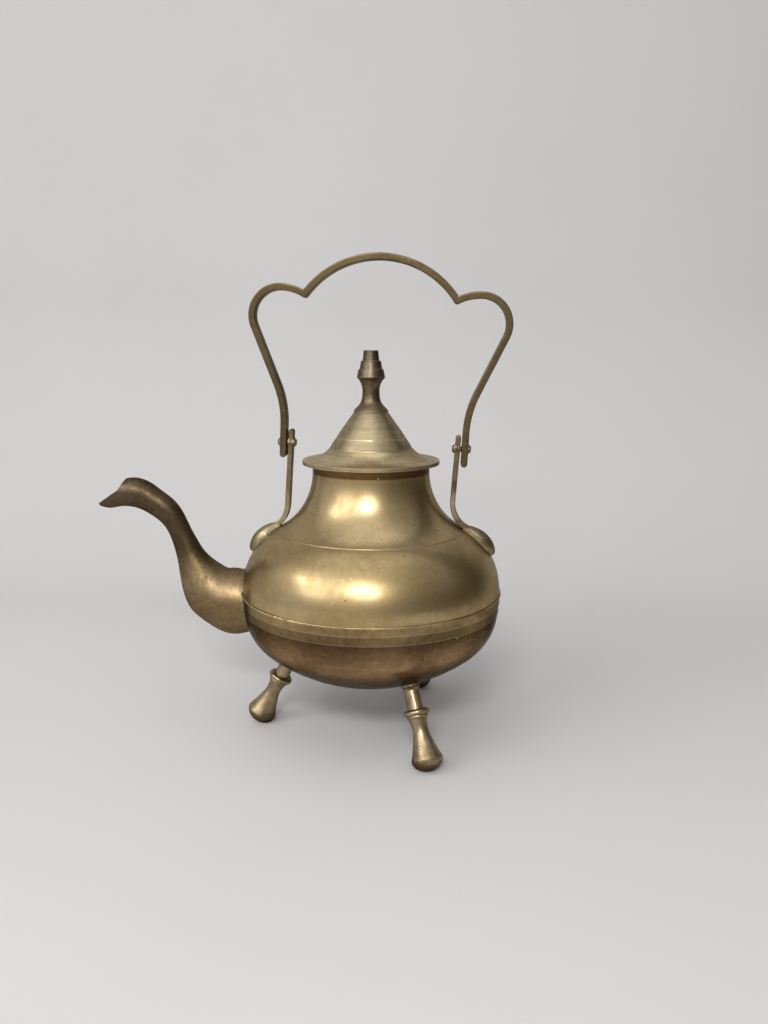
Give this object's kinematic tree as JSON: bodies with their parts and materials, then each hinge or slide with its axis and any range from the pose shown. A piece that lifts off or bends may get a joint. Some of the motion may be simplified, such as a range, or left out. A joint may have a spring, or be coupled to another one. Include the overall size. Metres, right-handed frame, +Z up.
{
  "type": "footed kettle",
  "caption": "Footed brass kettle for heating and pouring water, with a round spun body, swan-neck spout, lift-off lid with a turned finial, and a cusped bail that swings on riveted lugs.",
  "frame": {"origin": "on the body's axis, in the plane that the feet stand on", "axes": "+Z up along the body's axis, -X along the spout, +X to the rear, +Y to the side away from the picture"},
  "size_m": [0.2567, 0.162, 0.2941],
  "materials": {
    "spun_brass": "aged satin",
    "bowl_brass": "aged satin, browned",
    "spout_brass": "dark cast patina",
    "lid_brass": "aged satin with turning lines",
    "leg_brass": "turned, worn",
    "bail_brass": "aged, worn bright on edges",
    "lug_brass": "cast, filed",
    "fastener_brass": "peened, dull",
    "solder": "dull grey"
  },
  "bodies": {
    "pot": {"belly_shell": "spun_brass", "neck_shell": "spun_brass", "lower_bowl": "bowl_brass", "spout": "spout_brass", "spout_solder": "solder", "leg_front": "leg_brass", "leg_rear_right": "leg_brass", "leg_rear_left": "leg_brass", "leg_washer_front": "fastener_brass", "leg_washer_rear_right": "fastener_brass", "leg_washer_rear_left": "fastener_brass", "bail_lug_front": "lug_brass", "bail_lug_rear": "lug_brass", "lug_rivets_front": "fastener_brass", "lug_rivets_rear": "fastener_brass", "pivot_pin_front": "fastener_brass", "pivot_pin_rear": "fastener_brass"},
    "bail": {"bail_handle": "bail_brass"},
    "lid": {"lid_shell": "lid_brass", "lid_collar": "lid_brass", "lid_finial": "lid_brass", "finial_washer": "fastener_brass"}
  },
  "joints": [
    {"name": "bail_swing", "type": "hinge", "parent": "pot", "child": "bail", "pos_m": [0.0017, 0, 0.1811], "axis": [0.9995, 0, -0.0305], "range_deg": [-130, 130]},
    {"name": "lid_lift", "type": "slide", "parent": "pot", "child": "lid", "axis": [0, 0, 1], "range_m": [0, 0.045]}
  ]
}
